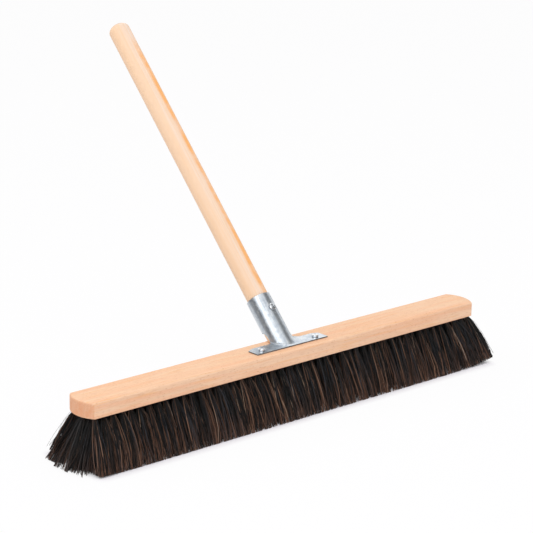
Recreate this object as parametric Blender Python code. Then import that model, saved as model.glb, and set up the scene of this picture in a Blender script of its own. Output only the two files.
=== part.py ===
"""Horsehair broom: a beech block filled with rows of horsehair tufts, and a short beech handle
in a pressed sheet-steel socket.

Metres, +Z up. The origin is on the floor under the middle of the block, +X runs along the
block, and the handle leans back towards +Y.
"""

import math

import bmesh
import bpy
from mathutils import Matrix, Vector
from mathutils.geometry import delaunay_2d_cdt

# Block
BLOCK_LENGTH = 0.600
BLOCK_WIDTH = 0.045
BLOCK_HEIGHT = 0.0185
END_BOW = 0.0078
TOP_ROUND = 0.003
BOTTOM_ROUND = 0.0008
CORNER_ROUND = 0.0014

# Tufts
BRISTLE_LENGTH = 0.0575
ROW_COUNT = 5
TUFT_PITCH = 0.012
SIDE_RIM = 0.004
END_RIM = 0.003
STRIP_DEPTH = 0.003
ROOT_RADIUS = 0.0021
TIP_RADIUS = 0.0024
STRAND_GAP = 0.00035
FRONT_SPREAD = 0.022
BACK_SPREAD = 0.031
END_SPREAD = 0.020
FAN_LENGTH = 0.090
TIP_CORNER = 0.026
TRIM = 0.0005
WANDER = 0.0005
BEND_SHARE = 0.56
STRAND_COUNT = 2
MIDDLE_STRAND_COUNT = 1

# Handle
HANDLE_RADIUS = 0.013
HANDLE_REACH = 0.450
HANDLE_LEAN = math.radians(43.3)
AXIS_BACK = 0.009
DOME_HEIGHT = 0.0085
END_CHAMFER = 0.001
END_CLEARANCE = 0.001

# Socket, bent and rolled from one sheet
SHEET = 0.0012
RIM_REACH = 0.0585
SEAM_GAP = 0.001
WING_LENGTH = 0.109
WING_FRONT = 0.013
WING_BACK = 0.007
CLIP_LENGTH = 0.0085
CLIP_WIDTH = 0.004
FLARE_HEIGHT = 0.0085
FLARE_WIDTH = 0.0125
FOLD_HEIGHT = 0.0022
FOLD_LEDGE = 0.0006
NOTCH_CORNER_TURN = math.radians(35)
NOTCH_CORNER_REACH = 0.018
NOTCH_SEAM_REACH = 0.020

# Screws
SCREW_FROM_END = 0.013
SCREW_LINE_FRONT = 0.005
SOCKET_SCREW_REACH = 0.039
SHANK_RADIUS = 0.002
PLATE_SCREW_LENGTH = 0.014
SOCKET_SCREW_LENGTH = 0.016
POINT_LENGTH = 0.005
HEAD_RADIUS = 0.0042
HEAD_HEIGHT = 0.003
HEAD_EDGE = 0.0008
RECESS_SPAN = 0.0048
RECESS_SLOT = 0.0012
RECESS_DEPTH = 0.0018
RECESS_FLOOR_SHARE = 0.45

# Clearances
SEAT_GAP = 0.0003
OVERRUN = 0.002
WELD = 0.000001

# Facets
BLOCK_END_STEPS = 14
CORNER_STEPS = 3
ROUND_STEPS = 4
HANDLE_STEPS = 48
DOME_STEPS = 6
TUBE_STEPS = 40
FLARE_STEPS = 8
NOTCH_STEPS = 8
BACK_STEPS = 10
SCREW_STEPS = 20
HEAD_STEPS = 5

# Places that follow from the sizes above
BLOCK_BASE = BRISTLE_LENGTH
BLOCK_TOP = BRISTLE_LENGTH + BLOCK_HEIGHT
PLATE_BASE = BLOCK_TOP + SEAT_GAP
PLATE_TOP = PLATE_BASE + SHEET
TUBE_RADIUS = HANDLE_RADIUS + SEAT_GAP + SHEET
END_RADIUS = ((BLOCK_WIDTH / 2) ** 2 + END_BOW**2) / (2 * END_BOW)
STRIP_SIDE = BLOCK_WIDTH / 2 - SIDE_RIM
STRIP_PITCH = 2 * STRIP_SIDE / ROW_COUNT
STRIP_END = BLOCK_LENGTH / 2 - END_RADIUS + math.sqrt(END_RADIUS**2 - STRIP_SIDE**2) - END_RIM
STRAND_STEP = ROOT_RADIUS * (math.sin(math.radians(30)) + math.cos(math.radians(30))) + STRAND_GAP
AXIS_BASE = Vector((0, AXIS_BACK, BLOCK_TOP))
AXIS = Vector((0, math.sin(HANDLE_LEAN), math.cos(HANDLE_LEAN)))
FRONT = Vector((0, -math.cos(HANDLE_LEAN), math.sin(HANDLE_LEAN)))
SIDE = Vector((1, 0, 0))
HANDLE_END_REACH = (BLOCK_WIDTH / 2 - AXIS_BACK) * AXIS.y + END_CLEARANCE


def clear_scene():
    for thing in list(bpy.data.objects):
        bpy.data.objects.remove(thing, do_unlink=True)


def finish(name, colour, roughness, metallic):
    """A Principled material with the part's own colour."""
    material = bpy.data.materials.new(name)
    material.use_nodes = True
    shader = material.node_tree.nodes["Principled BSDF"]
    shader.inputs["Base Color"].default_value = (*colour, 1)
    shader.inputs["Roughness"].default_value = roughness
    shader.inputs["Metallic"].default_value = metallic
    material.diffuse_color = (*colour, 1)
    return material


def add_part(name, shape, material=None, parent=None, place=(0, 0, 0), smooth=False):
    """Turns a bmesh into a named object with its faces pointing out."""
    bmesh.ops.recalc_face_normals(shape, faces=shape.faces)
    mesh = bpy.data.meshes.new(name)
    shape.to_mesh(mesh)
    shape.free()
    if smooth:
        mesh.shade_smooth()
        mesh.set_sharp_from_angle(angle=math.radians(35))
    part = bpy.data.objects.new(name, mesh)
    bpy.context.collection.objects.link(part)
    part.location = place
    part.parent = parent
    if material:
        mesh.materials.append(material)
    return part


def add_cutter(name, shape, parent=None, place=(0, 0, 0)):
    cutter = add_part(name, shape, parent=parent, place=place)
    cutter.hide_render = True
    cutter.display_type = "WIRE"
    return cutter


def cut(part, cutter):
    modifier = part.modifiers.new(cutter.name, "BOOLEAN")
    modifier.operation = "DIFFERENCE"
    modifier.solver = "EXACT"
    modifier.object = cutter


def revolve(profile, steps):
    """Spins a profile of (radius, height) points, both ends on the axis, round Z."""
    shape = bmesh.new()
    points = [shape.verts.new((radius, 0, height)) for radius, height in profile]
    edges = [shape.edges.new(pair) for pair in zip(points, points[1:])]
    bmesh.ops.spin(
        shape,
        geom=points + edges,
        cent=(0, 0, 0),
        axis=(0, 0, 1),
        angle=math.tau,
        steps=steps,
        use_merge=True,
    )
    bmesh.ops.remove_doubles(shape, verts=shape.verts, dist=WELD)
    return shape


def prism(outline, low, high):
    """A solid that stands on an outline of (x, y) points from one height to another."""
    shape = bmesh.new()
    face = shape.faces.new([shape.verts.new((x, y, low)) for x, y in outline])
    grown = bmesh.ops.extrude_face_region(shape, geom=[face])["geom"]
    tops = [item for item in grown if isinstance(item, bmesh.types.BMVert)]
    bmesh.ops.translate(shape, vec=(0, 0, high - low), verts=tops)
    return shape


def drill(radius, low, high):
    """A round cutter along Z."""
    return revolve([(0, low), (radius, low), (radius, high), (0, high)], SCREW_STEPS)


def steps_between(first, last, count):
    return [first + (last - first) * step / count for step in range(count + 1)]


# Block: sawn from one beech board, with bowed ends and rounded arrises.


def block_outline(inset):
    """The plan drawn in by an inset: straight sides, bowed ends and rounded corners."""
    centre = BLOCK_LENGTH / 2 - END_RADIUS
    corner = max(CORNER_ROUND - inset, 0)
    reach = END_RADIUS - inset - corner
    turn = math.asin((BLOCK_WIDTH / 2 - inset - corner) / reach)
    corner_x = centre + reach * math.cos(turn)
    corner_y = reach * math.sin(turn)
    arcs = [
        (corner_x, -corner_y, corner, -math.pi / 2, -turn, CORNER_STEPS),
        (centre, 0, reach + corner, -turn, turn, BLOCK_END_STEPS),
        (corner_x, corner_y, corner, turn, math.pi / 2, CORNER_STEPS),
    ]
    right = [
        (x + radius * math.cos(angle), y + radius * math.sin(angle))
        for x, y, radius, first, last, steps in arcs
        for angle in steps_between(first, last, steps)
    ]
    return right + [(-x, -y) for x, y in right]


def rounded_board():
    """Outlines stacked through the bottom's and the top's rounded arrises."""
    quarter = steps_between(0, math.pi / 2, ROUND_STEPS)
    bottom = [
        (BOTTOM_ROUND * (1 - math.sin(turn)), BLOCK_BASE + BOTTOM_ROUND * (1 - math.cos(turn)))
        for turn in quarter
    ]
    top = [
        (TOP_ROUND * (1 - math.cos(turn)), BLOCK_TOP - TOP_ROUND * (1 - math.sin(turn)))
        for turn in quarter
    ]
    shape = bmesh.new()
    rings = [
        [shape.verts.new((x, y, height)) for x, y in block_outline(inset)]
        for inset, height in bottom + top
    ]
    for lower, upper in zip(rings, rings[1:]):
        for k in range(len(lower)):
            shape.faces.new([lower[k - 1], lower[k], upper[k], upper[k - 1]])
    shape.faces.new(rings[0])
    shape.faces.new(rings[-1])
    bmesh.ops.remove_doubles(shape, verts=shape.verts, dist=WELD)
    return shape


def split_top(shape, x):
    """Ends the socket's part of the top at x, so that the rest of the top is one clear face."""
    top = [face for face in shape.faces if abs(face.calc_center_median().z - BLOCK_TOP) < WELD]
    edges = {edge for face in top for edge in face.edges}
    verts = {vert for face in top for vert in face.verts}
    bmesh.ops.bisect_plane(
        shape, geom=[*verts, *edges, *top], dist=WELD, plane_co=(x, 0, 0), plane_no=SIDE
    )


def make_block(material):
    shape = rounded_board()
    wing_end = WING_LENGTH / 2 + SEAT_GAP
    split_top(shape, wing_end)
    split_top(shape, -wing_end)
    block = add_part("block", shape, material, smooth=True)
    reach = STRIP_END + SEAT_GAP
    width = STRIP_SIDE + SEAT_GAP
    recess = [(-reach, -width), (reach, -width), (reach, width), (-reach, width)]
    top = BLOCK_BASE + STRIP_DEPTH + SEAT_GAP
    cut(block, add_cutter("strip_recess", prism(recess, BLOCK_BASE - OVERRUN, top)))
    return block


# Tufts: each row is a strip of the block's underside with the strands of its tufts.


def row_places(count):
    """Tuft centres along a strip, evenly pitched about its middle."""
    return [(index - (count - 1) / 2) * TUFT_PITCH for index in range(count)]


def tip_side(y):
    """How far the trimmed tips go along Y: the handle's weight splays the back ones more."""
    return BLOCK_WIDTH / 2 + (FRONT_SPREAD if y < 0 else BACK_SPREAD) - TIP_RADIUS


def tip_reach(y):
    """How far the trimmed tips go along X at a distance from the centre line."""
    inside_corner = max(0, abs(y) - (tip_side(y) - TIP_CORNER))
    bulge = math.sqrt(max(0, TIP_CORNER**2 - inside_corner**2))
    return BLOCK_LENGTH / 2 + END_SPREAD - TIP_RADIUS - TIP_CORNER + bulge


def strands_of_row(y, staggered, per_tuft):
    """Each strand as (root x, tip x, tip y, quarter turn), from the left end to the right."""
    outer_y = STRIP_PITCH * (ROW_COUNT - 1) / 2
    tip_y = y * tip_side(y) / outer_y
    tuft_width = STRAND_STEP * (STRAND_COUNT - 1) + 2 * ROOT_RADIUS
    fitting = int((STRIP_END - tuft_width / 2) / TUFT_PITCH)
    tufts = row_places(2 * fitting + 1 - staggered)
    last = tufts[-1] + (per_tuft - 1) / 2 * TUFT_PITCH / per_tuft
    fan_start = last - FAN_LENGTH
    push = tip_reach(tip_y) - last
    strands = []
    for tuft in tufts:
        for index in range(per_tuft):
            place = index - (per_tuft - 1) / 2
            root = tuft + place * STRAND_STEP
            plan = tuft + place * TUFT_PITCH / per_tuft
            lean = push * (max(0, abs(plan) - fan_start) / FAN_LENGTH) ** 2
            strands.append((root, plan + math.copysign(lean, plan), tip_y, place))
    return strands


def corners(x, y, z, radius, place):
    """Three corners of a strand; the strands of one tuft turn their flat sides together."""
    turn = math.radians(90) if place == 0 else math.radians(180) * (place < 0)
    return [
        (x + radius * math.cos(turn + k * math.tau / 3), y + radius * math.sin(turn + k * math.tau / 3), z)
        for k in range(3)
    ]


def strand_rings(root_x, root_y, tip_x, tip_y, place):
    """Rings at the root, half way and at the trimmed tip, which is cut flat on the floor."""
    sway = WANDER * math.sin(root_x / WANDER)
    middle = Vector(
        (
            root_x + (tip_x - root_x) * BEND_SHARE + sway,
            root_y + (tip_y - root_y) * BEND_SHARE + sway,
            BRISTLE_LENGTH / 2,
        )
    )
    drawn = Vector((tip_x - sway, tip_y, -TRIM))
    tip = middle.lerp(drawn, middle.z / (middle.z + TRIM))
    mean = (ROOT_RADIUS + TIP_RADIUS) / 2
    return [
        corners(root_x, root_y, BLOCK_BASE, ROOT_RADIUS, place),
        corners(middle.x, middle.y, middle.z, mean, place),
        corners(tip.x, tip.y, 0, TIP_RADIUS, place),
    ]


def make_row(number, material):
    y = STRIP_PITCH * (number - (ROW_COUNT - 1) / 2)
    is_middle = number == ROW_COUNT // 2
    per_tuft = MIDDLE_STRAND_COUNT if is_middle else STRAND_COUNT
    rings = [
        strand_rings(root_x, y, tip_x, tip_y, place)
        for root_x, tip_x, tip_y, place in strands_of_row(y, number % 2, per_tuft)
    ]
    half = (STRIP_PITCH - SEAT_GAP) / 2
    outline = [
        (-STRIP_END, y - half),
        (STRIP_END, y - half),
        (STRIP_END, y + half),
        (-STRIP_END, y + half),
    ]
    plan = [Vector(point) for point in outline]
    edges = [(k, (k + 1) % 4) for k in range(4)]
    for root, _, _ in rings:
        first = len(plan)
        plan += [Vector(point[:2]) for point in root]
        edges += [(first + k, first + (k + 1) % 3) for k in range(3)]
    inside_with_holes = 2
    points, _, faces, sources, _, _ = delaunay_2d_cdt(
        plan, edges, [list(range(len(outline)))], inside_with_holes, WELD
    )
    shape = bmesh.new()
    under = [shape.verts.new((point.x, point.y, BLOCK_BASE)) for point in points]
    of_plan = {index: under[place] for place, found in enumerate(sources) for index in found}
    for face in faces:
        shape.faces.new([under[index] for index in face])
    top = [shape.verts.new((x, y, BLOCK_BASE + STRIP_DEPTH)) for x, y in outline]
    shape.faces.new(top)
    for k in range(4):
        shape.faces.new([of_plan[k], of_plan[(k + 1) % 4], top[(k + 1) % 4], top[k]])
    for number_of_strand, (_, middle, tip) in enumerate(rings):
        first = 4 + 3 * number_of_strand
        above = [of_plan[first + k] for k in range(3)]
        for ring in (middle, tip):
            below = [shape.verts.new(point) for point in ring]
            for k in range(3):
                shape.faces.new([above[k], above[(k + 1) % 3], below[(k + 1) % 3], below[k]])
            above = below
        shape.faces.new(above)
    return add_part(f"tuft_row_{number + 1}", shape, material)


# Handle: a turned beech stick, domed at the top and cut square at the bottom.


def make_handle(material, axis_frame):
    dome_base = HANDLE_REACH - DOME_HEIGHT
    profile = [
        (0, HANDLE_END_REACH),
        (HANDLE_RADIUS - END_CHAMFER, HANDLE_END_REACH),
        (HANDLE_RADIUS, HANDLE_END_REACH + END_CHAMFER),
        *(
            (HANDLE_RADIUS * math.cos(turn), dome_base + DOME_HEIGHT * math.sin(turn))
            for turn in steps_between(0, math.pi / 2, DOME_STEPS)
        ),
    ]
    return add_part("handle", revolve(profile, HANDLE_STEPS), material, axis_frame, smooth=True)


# Socket: a T of galvanised sheet. The wings of the T lie on the block, and its stem is folded
# up and rolled round the handle to a butt seam at the back. The stem's lower sides are cut
# away, so the seam stops short of the block and the rolled half ends in a notch.


def on_tube(turn, reach):
    """A point of the tube's outer face: turn is measured from its front, round the axis."""
    outward = SIDE * math.sin(turn) + FRONT * math.cos(turn)
    return AXIS_BASE + AXIS * reach + outward * TUBE_RADIUS


def fold_corner(turn):
    """Where the tube's line at this turn would meet the plate's upper face."""
    foot = on_tube(turn, 0)
    return foot + AXIS * ((PLATE_TOP - foot.z) / AXIS.z)


def flare(turn):
    """A curve from the tube's wall to the plate, tight at the front and wide at the sides."""
    corner = fold_corner(turn)
    height = FOLD_HEIGHT + (FLARE_HEIGHT - FOLD_HEIGHT) * math.sin(abs(turn)) ** 2
    start = corner + AXIS * height
    depth = WING_BACK + WING_FRONT - FOLD_LEDGE
    end = Vector(
        (
            (TUBE_RADIUS + FLARE_WIDTH) * math.sin(turn),
            WING_BACK - depth * math.cos(turn),
            PLATE_TOP,
        )
    )
    return [
        start.lerp(corner, step).lerp(corner.lerp(end, step), step)
        for step in steps_between(0, 1, FLARE_STEPS)
    ]


def notch_edge():
    """The stem's free edge on the right, from the flare round the corner to the seam."""
    start = (fold_corner(math.pi / 2) - AXIS_BASE).dot(AXIS) + FLARE_HEIGHT
    edge = [
        (
            math.pi / 2 + NOTCH_CORNER_TURN * (1 - math.cos(turn)),
            start + (NOTCH_CORNER_REACH - start) * math.sin(turn),
        )
        for turn in steps_between(0, math.pi / 2, NOTCH_STEPS)[1:]
    ]
    corner_turn = math.pi / 2 + NOTCH_CORNER_TURN
    seam_turn = math.pi - math.asin(SEAM_GAP / 2 / TUBE_RADIUS)
    turns = steps_between(corner_turn, seam_turn, BACK_STEPS)[1:]
    reaches = steps_between(NOTCH_CORNER_REACH, NOTCH_SEAM_REACH, BACK_STEPS)[1:]
    return edge + list(zip(turns, reaches))


def make_socket(material):
    """The sheet's outer face as a grid of columns, thickened inwards."""
    shape = bmesh.new()
    columns = []
    back = notch_edge()
    for turn, reach in reversed(back):
        columns.append([on_tube(-turn, RIM_REACH), on_tube(-turn, reach)])
    for turn in steps_between(-math.pi / 2, math.pi / 2, TUBE_STEPS):
        columns.append([on_tube(turn, RIM_REACH), *flare(turn)])
    for turn, reach in back:
        columns.append([on_tube(turn, RIM_REACH), on_tube(turn, reach)])
    grid = [[shape.verts.new(point) for point in column] for column in columns]
    for left, right in zip(grid, grid[1:]):
        for row in range(min(len(left), len(right)) - 1):
            shape.faces.new([left[row], left[row + 1], right[row + 1], right[row]])
    folded = [column[-1] for column in grid if len(column) > 2]
    end = WING_LENGTH / 2
    right_wing = [
        (end - CLIP_LENGTH, WING_BACK),
        (end, WING_BACK - CLIP_WIDTH),
        (end, -WING_FRONT),
    ]
    left_wing = [(-x, y) for x, y in reversed(right_wing)]
    rim = [shape.verts.new((x, y, PLATE_TOP)) for x, y in right_wing + left_wing]
    shape.faces.new(folded + rim)
    socket = add_part("handle_socket", shape, material, smooth=True)
    wall = socket.modifiers.new("sheet", "SOLIDIFY")
    wall.thickness = SHEET
    wall.offset = -1
    wall.use_even_offset = True
    wall.use_quality_normals = True
    return socket


# Screws: pan heads with a cross recess, on plain shanks with a point.


def cross(span, slot):
    """The plan of a cross recess, corner by corner."""
    arm = [(slot, -slot), (span, -slot), (span, slot)]
    turned = []
    for quarter in range(4):
        spin = Matrix.Rotation(quarter * math.pi / 2, 2)
        turned += [tuple(spin @ Vector(point)) for point in arm]
    return turned


def make_screw(name, length, material, parent, place, tilt, cross_turn):
    dome = [
        (HEAD_RADIUS * math.cos(turn), HEAD_EDGE + (HEAD_HEIGHT - HEAD_EDGE) * math.sin(turn))
        for turn in steps_between(0, math.pi / 2, HEAD_STEPS)
    ]
    profile = [
        (0, -length),
        (SHANK_RADIUS, POINT_LENGTH - length),
        (SHANK_RADIUS, 0),
        (HEAD_RADIUS, 0),
        *dome,
    ]
    screw = add_part(name, revolve(profile, SCREW_STEPS), material, parent, place, smooth=True)
    screw.rotation_euler = (tilt, 0, 0)
    recess = prism(cross(RECESS_SPAN / 2, RECESS_SLOT / 2), HEAD_HEIGHT - RECESS_DEPTH, HEAD_HEIGHT)
    for vert in recess.verts:
        if vert.co.z < HEAD_HEIGHT:
            vert.co.xy *= RECESS_FLOOR_SHARE
        else:
            vert.co.z += OVERRUN
    bmesh.ops.rotate(recess, matrix=Matrix.Rotation(cross_turn, 3, "Z"), verts=recess.verts)
    cut(screw, add_cutter(f"{name}_recess", recess, screw))
    return screw


def main():
    clear_scene()
    beech = finish("beech", (0.87, 0.61, 0.42), 0.55, 0)
    handle_beech = finish("handle_beech", (0.92, 0.68, 0.47), 0.5, 0)
    galvanised = finish("galvanised_steel", (0.62, 0.65, 0.68), 0.35, 1)
    zinc = finish("zinc_plated_steel", (0.70, 0.72, 0.74), 0.25, 1)
    horsehair = finish("horsehair", (0.035, 0.028, 0.024), 0.5, 0)

    axis_frame = bpy.data.objects.new("handle_axis", None)
    bpy.context.collection.objects.link(axis_frame)
    axis_frame.location = AXIS_BASE
    axis_frame.rotation_euler = (-HANDLE_LEAN, 0, 0)

    block = make_block(beech)
    for number in range(ROW_COUNT):
        make_row(number, horsehair)
    handle = make_handle(handle_beech, axis_frame)
    socket = make_socket(galvanised)

    head_seat = PLATE_TOP + SEAT_GAP
    screw_out = WING_LENGTH / 2 - SCREW_FROM_END
    for name, x, cross_turn in (
        ("plate_screw_left", -screw_out, math.radians(20)),
        ("plate_screw_right", screw_out, math.radians(65)),
    ):
        place = (x, -SCREW_LINE_FRONT, head_seat)
        make_screw(name, PLATE_SCREW_LENGTH, zinc, None, place, 0, cross_turn)
        depth = PLATE_SCREW_LENGTH + SEAT_GAP
        pilot = add_cutter(f"{name}_pilot", drill(SHANK_RADIUS + SEAT_GAP, -depth, 0), place=place)
        cut(block, pilot)
        cut(socket, pilot)

    # The socket screw points along the handle frame's +Y, so its head faces the front.
    seat = TUBE_RADIUS + SEAT_GAP
    place = (0, -seat, SOCKET_SCREW_REACH)
    make_screw(
        "socket_screw", SOCKET_SCREW_LENGTH, zinc, axis_frame, place, math.pi / 2, math.radians(35)
    )
    depth = SOCKET_SCREW_LENGTH + SEAT_GAP
    pilot = add_cutter(
        "socket_screw_pilot", drill(SHANK_RADIUS + SEAT_GAP, -depth, 0), axis_frame, place
    )
    pilot.rotation_euler = (math.pi / 2, 0, 0)
    cut(handle, pilot)
    cut(socket, pilot)


main()
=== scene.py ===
"""Looks of the horsehair broom in the photo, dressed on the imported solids.

Metres, +Z up. The origin is on the floor under the middle of the block, +X runs along the
block, and the handle leans back towards +Y.
"""

import math

import bmesh
import bpy
from mathutils import Euler, Matrix, Vector
from mathutils.geometry import delaunay_2d_cdt


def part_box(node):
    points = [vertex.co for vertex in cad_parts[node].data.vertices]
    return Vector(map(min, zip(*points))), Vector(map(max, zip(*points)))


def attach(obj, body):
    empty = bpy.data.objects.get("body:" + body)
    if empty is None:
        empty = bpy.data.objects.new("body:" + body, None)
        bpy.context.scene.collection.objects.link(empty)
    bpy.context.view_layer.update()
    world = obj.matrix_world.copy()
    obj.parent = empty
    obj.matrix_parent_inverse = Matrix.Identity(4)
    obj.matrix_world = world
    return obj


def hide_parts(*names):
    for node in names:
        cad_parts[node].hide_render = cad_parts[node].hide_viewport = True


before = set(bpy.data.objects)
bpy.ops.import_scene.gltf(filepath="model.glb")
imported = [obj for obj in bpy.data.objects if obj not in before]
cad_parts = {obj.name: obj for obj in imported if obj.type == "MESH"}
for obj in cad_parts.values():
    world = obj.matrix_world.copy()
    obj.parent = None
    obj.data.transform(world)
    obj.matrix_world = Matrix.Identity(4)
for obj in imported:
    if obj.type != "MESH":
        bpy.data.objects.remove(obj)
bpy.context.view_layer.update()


# Block: one board of beech, sawn with bowed ends, rounded along its arrises and sanded, and left
# bare. Blind holes are drilled in its underside for the tufts, and two pilot holes in its top.

block_low, block_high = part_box("block")
BLOCK_LENGTH = block_high.x - block_low.x
BLOCK_WIDTH = block_high.y - block_low.y
END_BOW = 0.0078
END_RADIUS = ((BLOCK_WIDTH / 2) ** 2 + END_BOW**2) / (2 * END_BOW)
CORNER_ROUND = 0.0014
SHARPEST_CORNER = 0.0002
TOP_ROUND = 0.003
BOTTOM_ROUND = 0.0008
CORNER_STEPS = 6
END_STEPS = 32
ARRIS_STEPS = 8
SHARP_FROM = math.radians(35)

ROW_COUNT = 5
ROW_PITCH = 0.0074
TUFT_PITCH = 0.012
TUFTS_EACH_SIDE = 24
TUFT_HOLE_RADIUS = 0.0029
TUFT_HOLE_DEPTH = 0.0055
HOLE_STEPS = 14

PLATE_SCREW_OUT = 0.0415
PLATE_SCREW_FRONT = 0.005
PILOT_RADIUS = 0.0016
PILOT_DEPTH = 0.0126


def steps_between(first, last, count):
    return [first + (last - first) * step / count for step in range(count + 1)]


def block_outline(inset):
    """The plan drawn in by an inset: straight sides, bowed ends and rounded corners."""
    centre = BLOCK_LENGTH / 2 - END_RADIUS
    corner = max(CORNER_ROUND - inset, SHARPEST_CORNER)
    reach = END_RADIUS - inset - corner
    turn = math.asin((BLOCK_WIDTH / 2 - inset - corner) / reach)
    corner_x, corner_y = centre + reach * math.cos(turn), reach * math.sin(turn)
    arcs = [
        (corner_x, -corner_y, corner, steps_between(-math.pi / 2, -turn, CORNER_STEPS)[:-1]),
        (centre, 0, reach + corner, steps_between(-turn, turn, END_STEPS)),
        (corner_x, corner_y, corner, steps_between(turn, math.pi / 2, CORNER_STEPS)[1:]),
    ]
    right = [
        (x + radius * math.cos(angle), y + radius * math.sin(angle))
        for x, y, radius, angles in arcs
        for angle in angles
    ]
    return right + [(-x, -y) for x, y in right]


def tuft_places(row):
    """Where the tufts of a row stand along the block; every second row is staggered."""
    count = 2 * TUFTS_EACH_SIDE + 1 - row % 2
    return [(index - (count - 1) / 2) * TUFT_PITCH for index in range(count)]


def circle(x, y, radius, steps):
    turns = steps_between(0, math.tau, steps)[:-1]
    return [(x + radius * math.cos(turn), y + radius * math.sin(turn)) for turn in turns]


def ring_of(shape, points, z):
    return [shape.verts.new((x, y, z)) for x, y in points]


def join_rings(shape, rings):
    for lower, upper in zip(rings, rings[1:]):
        for k in range(len(lower)):
            shape.faces.new([lower[k - 1], lower[k], upper[k], upper[k - 1]])


def holed_face(shape, rim, holes):
    """Fills a flat outline of vertices round the outlines of its holes."""
    verts = list(rim)
    edges = [(k, (k + 1) % len(rim)) for k in range(len(rim))]
    for hole in holes:
        first = len(verts)
        verts += hole
        edges += [(first + k, first + (k + 1) % len(hole)) for k in range(len(hole))]
    inside_with_holes, same_point = 2, 1e-7
    plan = [vert.co.xy for vert in verts]
    outline = [list(range(len(rim)))]
    filled = delaunay_2d_cdt(plan, edges, outline, inside_with_holes, same_point)
    faces, sources = filled[2:4]
    for face in faces:
        shape.faces.new([verts[sources[index][0]] for index in face])


def blind_hole(shape, points, z, depth):
    """A drilled hole, from its mouth at height z to its flat end."""
    mouth = ring_of(shape, points, z)
    end = ring_of(shape, points, z + depth)
    join_rings(shape, [mouth, end])
    shape.faces.new(end)
    return mouth


def add_piece(name, shape, material=None):
    """Turns a bmesh into a smooth-shaded object with its faces pointing out."""
    bmesh.ops.recalc_face_normals(shape, faces=shape.faces)
    mesh = bpy.data.meshes.new(name)
    shape.to_mesh(mesh)
    shape.free()
    mesh.shade_smooth()
    mesh.set_sharp_from_angle(angle=SHARP_FROM)
    if material:
        mesh.materials.append(material)
    piece = bpy.data.objects.new(name, mesh)
    bpy.context.collection.objects.link(piece)
    return piece


def keep_flats_flat(piece):
    """Lets the large flat faces set the shading where they meet rounded edges."""
    weighting = piece.modifiers.new("flat_faces", "WEIGHTED_NORMAL")
    weighting.mode = "FACE_AREA"
    weighting.keep_sharp = True


def keep_as_mesh(piece):
    """Turns a piece and its modifiers into one plain mesh."""
    graph = bpy.context.evaluated_depsgraph_get()
    made = piece.evaluated_get(graph)
    mesh = bpy.data.meshes.new_from_object(made, preserve_all_data_layers=True, depsgraph=graph)
    piece.modifiers.clear()
    piece.data = mesh


def linear(hex_colour):
    """An sRGB hex colour as linear light."""
    parts = [int(hex_colour[k : k + 2], 16) / 255 for k in (1, 3, 5)]
    light = [part / 12.92 if part <= 0.04045 else ((part + 0.055) / 1.055) ** 2.4 for part in parts]
    return (*light, 1)


def add(tree, kind, inputs=None, **settings):
    """Adds a node. Inputs are named or numbered; each is a value, a socket or a node."""
    node = tree.nodes.new(kind)
    for setting, value in settings.items():
        setattr(node, setting, value)
    for key, value in (inputs or {}).items():
        named = [socket for socket in node.inputs if socket.name == key and socket.enabled]
        socket = named[0] if named else node.inputs[key]
        if isinstance(value, bpy.types.Node):
            value = next(output for output in value.outputs if output.enabled)
        if isinstance(value, bpy.types.NodeSocket):
            tree.links.new(value, socket)
        else:
            socket.default_value = value
    return node


def new_material(name):
    """A material with an empty node tree."""
    material = bpy.data.materials.new(name)
    material.use_nodes = True
    tree = material.node_tree
    tree.nodes.clear()
    return material, tree


MATH, VECTORS, MIX = "ShaderNodeMath", "ShaderNodeVectorMath", "ShaderNodeMix"
LEVELS, MAPPING, NOISE = "ShaderNodeMapRange", "ShaderNodeMapping", "ShaderNodeTexNoise"
JOIN, SPLIT = "ShaderNodeCombineXYZ", "ShaderNodeSeparateXYZ"
COORDS, OUTPUT = "ShaderNodeTexCoord", "ShaderNodeOutputMaterial"
SURFACE = "ShaderNodeBsdfPrincipled"

# The rings' cones are drawn out along the grain. End grain is told by the way that it faces.
WAVES_PER_UNIT = 20
RING_CONE_SHARE = 0.12
LATE_WOOD_FROM = 0.6
END_GRAIN_FROM, END_GRAIN_FULL = 0.6, 0.95
END_GRAIN_SHARE = 0.75
PORE_DEPTH = 0.00003


def paint_beech(tree, grain_turn, grain_place, pith, layers, ring_spacing, ring_shade, shades):
    """Beech's colour. Its grain runs along Z of the frame that grain_turn and grain_place give.

    Each layer is a stretched noise: its length and width, the levels that it starts and ends
    at, its shade and its share. The growth rings run round the pith.
    """
    place = add(tree, COORDS).outputs["Object"]
    grain = add(
        tree, MAPPING, {"Vector": place, "Rotation": grain_turn, "Location": grain_place},
        vector_type="TEXTURE",
    )
    from_pith = add(
        tree, MAPPING, {"Vector": grain, "Location": pith, "Scale": (1, 1, RING_CONE_SHARE)}
    )
    rings = add(
        tree, "ShaderNodeTexWave", {
            "Vector": from_pith, "Scale": math.tau / WAVES_PER_UNIT / ring_spacing,
            "Distortion": 2.4, "Detail": 2, "Detail Scale": 0.8,
        },
        wave_type="RINGS", rings_direction="Z", wave_profile="SAW",
    )
    late_wood = add(
        tree, LEVELS,
        {"Value": rings.outputs["Fac"], "From Min": LATE_WOOD_FROM, "To Max": ring_shade},
    )
    colour = add(
        tree, MIX,
        {"Factor": late_wood, "A": linear(shades["cream"]), "B": linear(shades["brown"])},
        data_type="RGBA",
    )
    for length, width, low, high, shade, share in layers:
        stretched = add(
            tree, MAPPING, {"Vector": grain, "Scale": (1 / width, 1 / width, 1 / length)}
        )
        noise = add(tree, NOISE, {"Vector": stretched, "Scale": 1, "Detail": 2})
        level = add(
            tree, LEVELS, {"Value": noise, "From Min": low, "From Max": high, "To Max": share}
        )
        colour = add(
            tree, MIX, {"Factor": level, "A": colour, "B": linear(shades[shade])}, data_type="RGBA"
        )
    return grain, colour, level


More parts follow.
